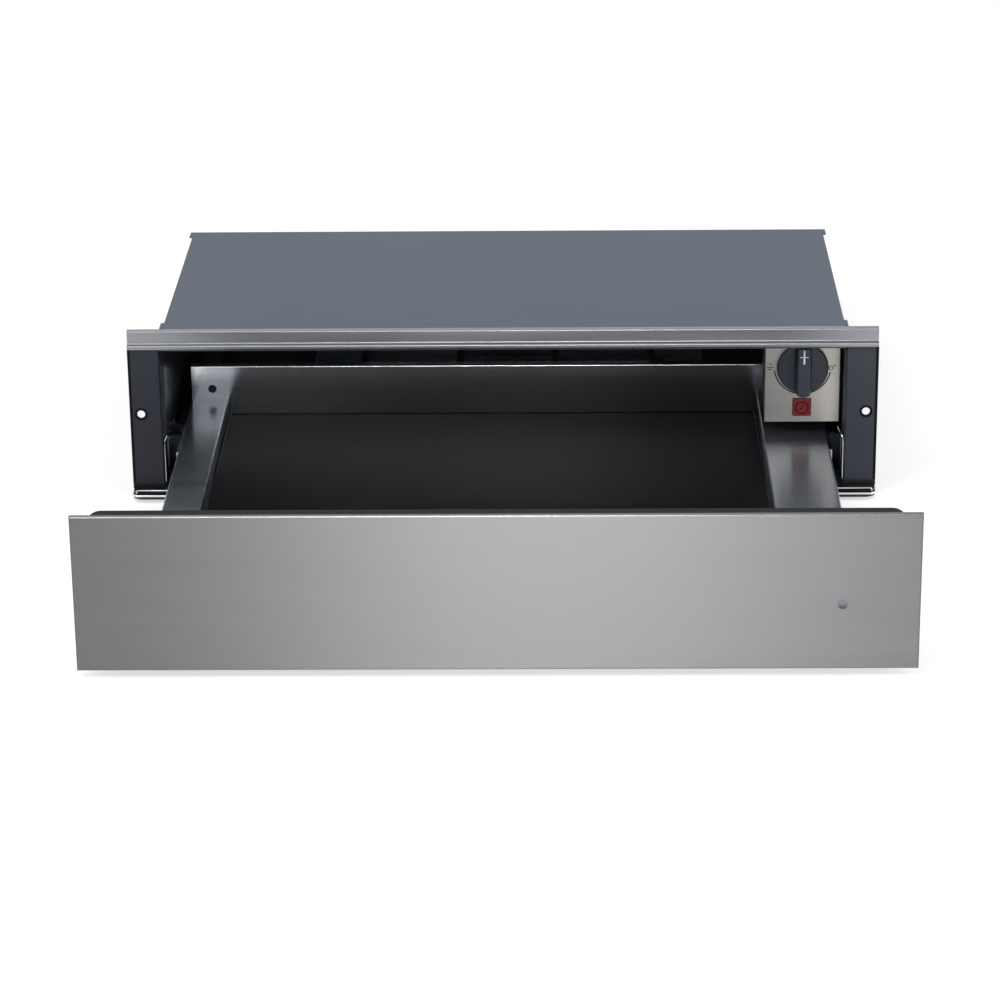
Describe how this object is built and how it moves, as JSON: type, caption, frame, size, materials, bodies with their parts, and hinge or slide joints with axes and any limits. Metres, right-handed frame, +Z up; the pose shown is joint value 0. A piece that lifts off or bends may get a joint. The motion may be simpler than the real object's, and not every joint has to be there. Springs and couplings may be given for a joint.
{
  "type": "built-in warming drawer",
  "caption": "Low built-in drawer that warms crockery: steel carcass with mounting flanges, pull-out tray on ball slides, stainless front, thermostat knob and red switch.",
  "frame": {"origin": "centre of the base plate's underside, midway between the mounting flange face and the back of the carcass", "axes": "+Z up, +Y towards the wall behind the cabinet, -Y towards the user, +X to the user's right; drawer pulled out at rest"},
  "size_m": [0.595, 0.8256, 0.14],
  "materials": {
    "painted_steel": "satin blue-grey coated steel",
    "flange_paint": "semi-gloss dark blue-grey coated steel",
    "stainless": "fine horizontal brushed",
    "tray_steel": "polished dark steel",
    "zinc_steel": "bright zinc plated",
    "bright_trim": "bright rolled",
    "black_plate": "gloss black enamel-like plate",
    "black_plastic": "fine satin",
    "knob_plastic": "satin",
    "white_mark": "gloss",
    "red_lens": "translucent red",
    "lamp_clear": "pale clear",
    "board": "plain board",
    "rubber_seal": "matt",
    "ceramic": "glazed white",
    "element_steel": "heat-tinted",
    "aluminised": "bright reflector sheet",
    "pale_plastic": "moulded"
  },
  "bodies": {
    "carcass": {"base_plate": "painted_steel", "left_wall": "painted_steel", "right_wall": "painted_steel", "rear_panel": "painted_steel", "bay_roof": "painted_steel", "step_panel": "painted_steel", "top_cover": "painted_steel", "cover_screws": "painted_steel", "carcass_rivets": "zinc_steel", "top_trim": "stainless", "left_mounting_flange": "flange_paint", "right_mounting_flange": "flange_paint", "bottom_rail": "bright_trim", "control_fascia": "stainless", "control_box": "stainless", "thermostat_body": "pale_plastic", "switch_body": "black_plastic", "left_outer_slide": "zinc_steel", "right_outer_slide": "zinc_steel", "left_slide_spacers": "zinc_steel", "right_slide_spacers": "zinc_steel", "heat_reflector": "aluminised", "heating_element": "element_steel", "element_supports": "zinc_steel", "element_terminals": "ceramic", "thermal_cutout": "black_plastic", "thermostat_bulb": "bright_trim", "cable_gland": "black_plastic", "gland_nut": "black_plastic", "terminal_block": "pale_plastic", "latch_housing": "black_plastic", "rear_buffers": "rubber_seal"},
    "drawer": {"drawer_tray": "tray_steel", "tray_back_wall": "tray_steel", "tray_floor_plate": "black_plate", "left_inner_slide": "zinc_steel", "right_inner_slide": "zinc_steel", "front_skin": "stainless", "front_core": "board", "front_liner": "black_plastic", "front_gasket": "rubber_seal", "lamp_lens": "lamp_clear", "lamp_holder": "black_plastic", "left_front_bracket": "zinc_steel", "right_front_bracket": "zinc_steel", "front_bracket_screws": "zinc_steel", "left_rear_bracket": "zinc_steel", "right_rear_bracket": "zinc_steel", "back_wall_screws": "flange_paint", "latch_striker": "zinc_steel"},
    "left_cage": {"left_ball_cage": "zinc_steel", "left_slide_balls": "bright_trim"},
    "right_cage": {"right_ball_cage": "zinc_steel", "right_slide_balls": "bright_trim"},
    "knob": {"control_knob": "knob_plastic", "knob_index": "white_mark", "thermostat_shaft": "zinc_steel"},
    "button": {"power_button": "red_lens"},
    "latch_pin": {"latch_plunger": "pale_plastic"}
  },
  "joints": [
    {"name": "drawer_slide", "type": "slide", "parent": "carcass", "child": "drawer", "axis": [0, 1, 0], "range_m": [0, 0.328]},
    {"name": "left_cage_slide", "type": "slide", "parent": "carcass", "child": "left_cage", "axis": [0, 1, 0], "range_m": [0, 0.164]},
    {"name": "right_cage_slide", "type": "slide", "parent": "carcass", "child": "right_cage", "axis": [0, 1, 0], "range_m": [0, 0.164]},
    {"name": "knob_turn", "type": "hinge", "parent": "carcass", "child": "knob", "pos_m": [0.2392, -0.2, 0.0972], "axis": [0, -1, 0], "range_deg": [-90, 90]},
    {"name": "button_press", "type": "slide", "parent": "carcass", "child": "button", "axis": [0, 1, 0], "range_m": [0, 0.002], "stiffness_N_per_m": 400, "springref_m": -0.002},
    {"name": "latch_push", "type": "slide", "parent": "carcass", "child": "latch_pin", "axis": [0, 1, 0], "range_m": [0, 0.005], "stiffness_N_per_m": 500, "springref_m": -0.003}
  ],
  "couplings": [
    {"joint": "left_cage_slide", "follows": "drawer_slide", "ratio": 0.5},
    {"joint": "right_cage_slide", "follows": "drawer_slide", "ratio": 0.5}
  ]
}
